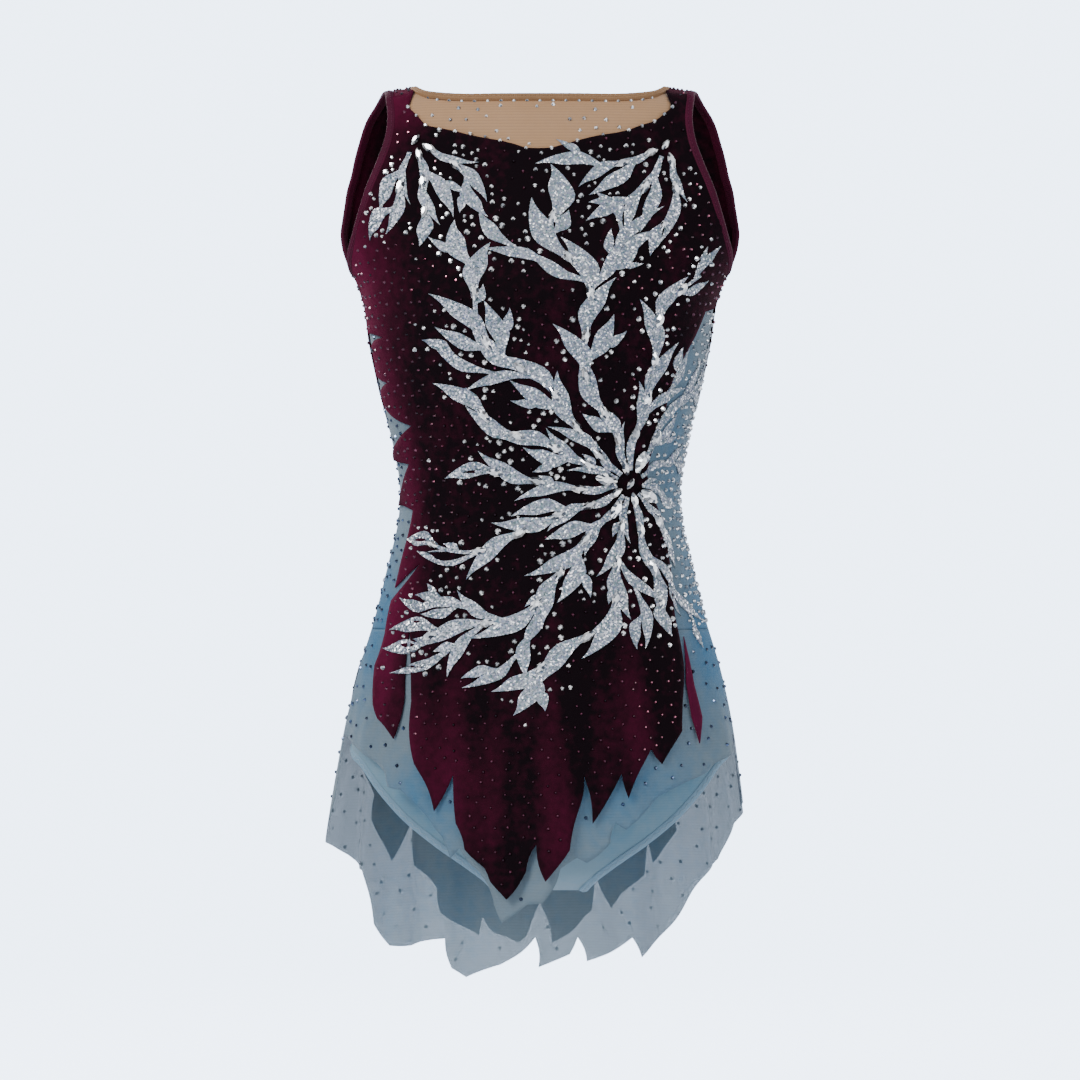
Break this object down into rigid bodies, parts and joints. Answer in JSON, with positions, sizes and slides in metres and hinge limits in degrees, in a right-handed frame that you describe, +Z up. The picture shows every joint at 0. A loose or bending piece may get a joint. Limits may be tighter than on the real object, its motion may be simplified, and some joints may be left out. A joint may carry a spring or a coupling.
{
  "type": "leotard",
  "caption": "Sleeveless gymnastics leotard of velvet and net with a scooped back, a pointed petal skirt and leafy glitter applique.",
  "frame": {"origin": "midway between the two strap tops, at shoulder seam height", "axes": "+Z up, the wearer faces -Y, +X to the wearer's left"},
  "size_m": [0.3355, 0.2747, 0.723],
  "materials": {
    "velvet": "stretch velvet, near-black wine",
    "crimson_velvet": "stretch velvet, crimson",
    "blue_net": "hand-dyed blue-grey stretch net",
    "nude_net": "nude stretch net",
    "nude_binding": "folded nude elastic",
    "wine_binding": "folded wine elastic",
    "glitter": "silver glitter fabric",
    "crystal": "faceted clear glass"
  },
  "bodies": {
    "root": {"applique_back": "glitter", "applique_back_left": "glitter", "applique_back_right": "glitter", "applique_front": "glitter", "applique_shoulder_left": "glitter", "applique_shoulder_right": "glitter", "armhole_binding_left": "wine_binding", "armhole_binding_right": "wine_binding", "back_inset": "nude_net", "back_velvet": "velvet", "brief_back": "blue_net", "brief_front": "blue_net", "front_velvet": "velvet", "front_yoke": "nude_net", "hip_petal_crimson": "crimson_velvet", "hip_petal_dark": "velvet", "hip_petal_front": "crimson_velvet", "leg_binding_left": "blue_net", "leg_binding_right": "blue_net", "neck_binding": "nude_binding", "net_skirt_back": "blue_net", "net_skirt_front": "blue_net", "set_stone_1": "crystal", "set_stone_2": "crystal", "set_stone_3": "crystal", "set_stone_4": "crystal", "set_stone_5": "crystal", "set_stone_6": "crystal", "set_stone_7": "crystal", "set_stone_8": "crystal", "side_panel_left": "blue_net", "side_panel_right": "blue_net"}
  },
  "joints": []
}
